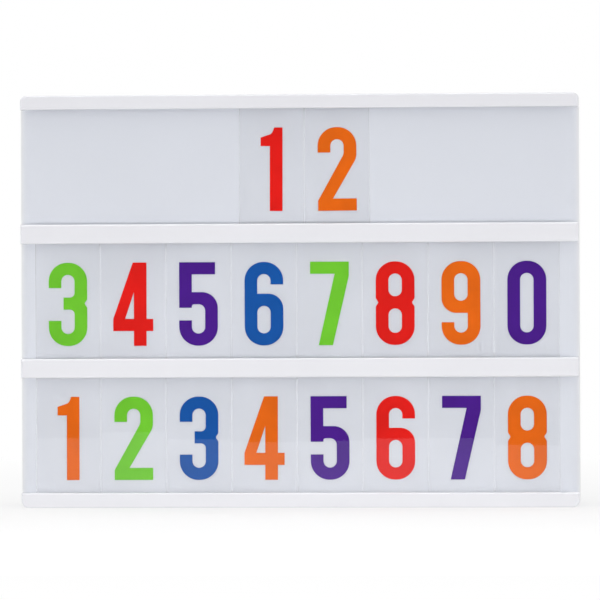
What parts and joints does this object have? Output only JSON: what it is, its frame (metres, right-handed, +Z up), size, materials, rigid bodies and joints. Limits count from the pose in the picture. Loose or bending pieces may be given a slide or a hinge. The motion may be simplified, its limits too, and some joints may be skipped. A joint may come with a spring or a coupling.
{
  "type": "cinema light box",
  "caption": "Free-standing or wall-hung light box with grooved rails that hold rows of clear tiles over a milky lit panel, with a battery bay at the back.",
  "frame": {"origin": "middle of the footprint, on the surface that the box stands on", "axes": "+X along the rows to the right as seen from the front, +Y from the front to the back, +Z up"},
  "size_m": [0.3014, 0.055, 0.222],
  "materials": {
    "rail_white": "glossy moulded white",
    "diffuser_white": "milky, satin",
    "back_white": "fine spark texture, white",
    "tile_clear": "clear gloss film",
    "cell_wrap": "plain dark sleeve with metal ends",
    "spring_wire": "drawn wire",
    "contact_metal": "nickel plated",
    "board_green": "solder mask",
    "part_black": "moulded black",
    "knob_black": "satin black",
    "reflector_white": "bright white sheet",
    "strip_white": "white strip",
    "led_package": "pale yellow resin",
    "wire_red": "soft insulated wire",
    "ribbon_white": "flat ribbon",
    "screw_steel": "zinc plated"
  },
  "bodies": {
    "case": {"front_shell": "diffuser_white", "bottom_rail": "rail_white", "lower_middle_rail": "rail_white", "upper_middle_rail": "rail_white", "top_rail": "rail_white", "back_shell": "back_white", "battery_cells": "cell_wrap", "contact_springs": "spring_wire", "contact_plates": "contact_metal", "control_board": "board_green", "board_parts": "part_black", "switch_body": "part_black", "power_socket": "part_black", "reflector_sheet": "reflector_white", "led_strip_bottom": "strip_white", "led_strip_middle": "strip_white", "led_strip_top": "strip_white", "led_packages": "led_package", "battery_leads": "wire_red", "strip_leads": "wire_red", "strip_links": "ribbon_white", "case_screws": "screw_steel", "board_screws": "screw_steel"},
    "battery_door": {"battery_cover": "back_white", "cover_latch": "back_white"},
    "switch_slider": {"switch_knob": "knob_black"},
    "tile_top_1_body": {"tile_top_1": "tile_clear"},
    "tile_top_2_body": {"tile_top_2": "tile_clear"},
    "tile_middle_1_body": {"tile_middle_1": "tile_clear"},
    "tile_middle_2_body": {"tile_middle_2": "tile_clear"},
    "tile_middle_3_body": {"tile_middle_3": "tile_clear"},
    "tile_middle_4_body": {"tile_middle_4": "tile_clear"},
    "tile_middle_5_body": {"tile_middle_5": "tile_clear"},
    "tile_middle_6_body": {"tile_middle_6": "tile_clear"},
    "tile_middle_7_body": {"tile_middle_7": "tile_clear"},
    "tile_middle_8_body": {"tile_middle_8": "tile_clear"},
    "tile_bottom_1_body": {"tile_bottom_1": "tile_clear"},
    "tile_bottom_2_body": {"tile_bottom_2": "tile_clear"},
    "tile_bottom_3_body": {"tile_bottom_3": "tile_clear"},
    "tile_bottom_4_body": {"tile_bottom_4": "tile_clear"},
    "tile_bottom_5_body": {"tile_bottom_5": "tile_clear"},
    "tile_bottom_6_body": {"tile_bottom_6": "tile_clear"},
    "tile_bottom_7_body": {"tile_bottom_7": "tile_clear"},
    "tile_bottom_8_body": {"tile_bottom_8": "tile_clear"}
  },
  "joints": [
    {"name": "tile_top_1_slide", "type": "slide", "parent": "case", "child": "tile_top_1_body", "axis": [1, 0, 0], "range_m": [-0.1105, 0]},
    {"name": "tile_top_2_slide", "type": "slide", "parent": "case", "child": "tile_top_2_body", "axis": [1, 0, 0], "range_m": [0, 0.1043]},
    {"name": "tile_middle_1_lift", "type": "slide", "parent": "case", "child": "tile_middle_1_body", "axis": [0, 0, 1], "range_m": [0, 0.002]},
    {"name": "tile_middle_2_lift", "type": "slide", "parent": "case", "child": "tile_middle_2_body", "axis": [0, 0, 1], "range_m": [0, 0.002]},
    {"name": "tile_middle_3_lift", "type": "slide", "parent": "case", "child": "tile_middle_3_body", "axis": [0, 0, 1], "range_m": [0, 0.002]},
    {"name": "tile_middle_4_lift", "type": "slide", "parent": "case", "child": "tile_middle_4_body", "axis": [0, 0, 1], "range_m": [0, 0.002]},
    {"name": "tile_middle_5_lift", "type": "slide", "parent": "case", "child": "tile_middle_5_body", "axis": [0, 0, 1], "range_m": [0, 0.002]},
    {"name": "tile_middle_6_lift", "type": "slide", "parent": "case", "child": "tile_middle_6_body", "axis": [0, 0, 1], "range_m": [0, 0.002]},
    {"name": "tile_middle_7_lift", "type": "slide", "parent": "case", "child": "tile_middle_7_body", "axis": [0, 0, 1], "range_m": [0, 0.002]},
    {"name": "tile_middle_8_lift", "type": "slide", "parent": "case", "child": "tile_middle_8_body", "axis": [0, 0, 1], "range_m": [0, 0.002]},
    {"name": "tile_bottom_1_lift", "type": "slide", "parent": "case", "child": "tile_bottom_1_body", "axis": [0, 0, 1], "range_m": [0, 0.002]},
    {"name": "tile_bottom_2_lift", "type": "slide", "parent": "case", "child": "tile_bottom_2_body", "axis": [0, 0, 1], "range_m": [0, 0.002]},
    {"name": "tile_bottom_3_lift", "type": "slide", "parent": "case", "child": "tile_bottom_3_body", "axis": [0, 0, 1], "range_m": [0, 0.002]},
    {"name": "tile_bottom_4_lift", "type": "slide", "parent": "case", "child": "tile_bottom_4_body", "axis": [0, 0, 1], "range_m": [0, 0.002]},
    {"name": "tile_bottom_5_lift", "type": "slide", "parent": "case", "child": "tile_bottom_5_body", "axis": [0, 0, 1], "range_m": [0, 0.002]},
    {"name": "tile_bottom_6_lift", "type": "slide", "parent": "case", "child": "tile_bottom_6_body", "axis": [0, 0, 1], "range_m": [0, 0.002]},
    {"name": "tile_bottom_7_lift", "type": "slide", "parent": "case", "child": "tile_bottom_7_body", "axis": [0, 0, 1], "range_m": [0, 0.002]},
    {"name": "tile_bottom_8_lift", "type": "slide", "parent": "case", "child": "tile_bottom_8_body", "axis": [0, 0, 1], "range_m": [0, 0.002]},
    {"name": "cover_swing", "type": "hinge", "parent": "case", "child": "battery_door", "pos_m": [0, 0.0275, 0.0273], "axis": [-1, 0, 0], "range_deg": [0, 60], "deforming": ["cover_latch"]},
    {"name": "switch_slide", "type": "slide", "parent": "case", "child": "switch_slider", "axis": [1, 0, 0], "range_m": [0, 0.004]}
  ]
}
